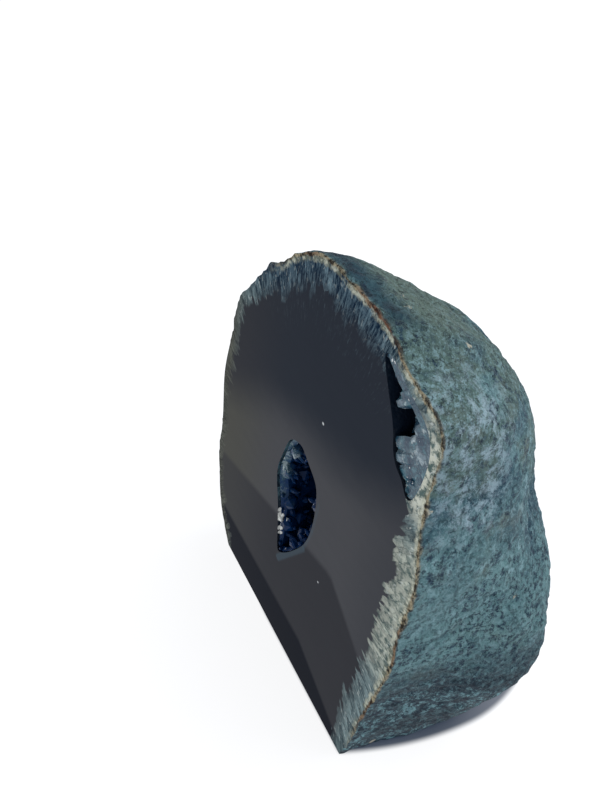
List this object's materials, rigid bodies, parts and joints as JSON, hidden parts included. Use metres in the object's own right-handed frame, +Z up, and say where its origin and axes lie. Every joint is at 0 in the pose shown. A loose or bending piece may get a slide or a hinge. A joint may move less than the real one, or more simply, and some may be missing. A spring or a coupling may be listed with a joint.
{
  "type": "geode half",
  "caption": "Standing half of a dyed agate geode with a polished dark face, a quartz border, a crystal-lined hollow and a rough rounded back.",
  "frame": {"origin": "centre of the bounding box on the plane that the foot stands on", "axes": "+Z up from the sawn foot, the polished face looks along -Y, +Y to the rounded back"},
  "size_m": [0.0776, 0.0498, 0.1003],
  "materials": {
    "agate": "polished near-black agate face with a grey-green quartz border, rough mottled teal rind",
    "hollow_quartz": "glassy dyed quartz crystals, navy in the depth and pale teal at the mouth",
    "pocket_quartz": "glassy pale blue-grey quartz prisms"
  },
  "bodies": {
    "root": {"agate_half": "agate", "hollow_crystals": "hollow_quartz", "edge_pocket_crystals": "pocket_quartz"}
  },
  "joints": []
}
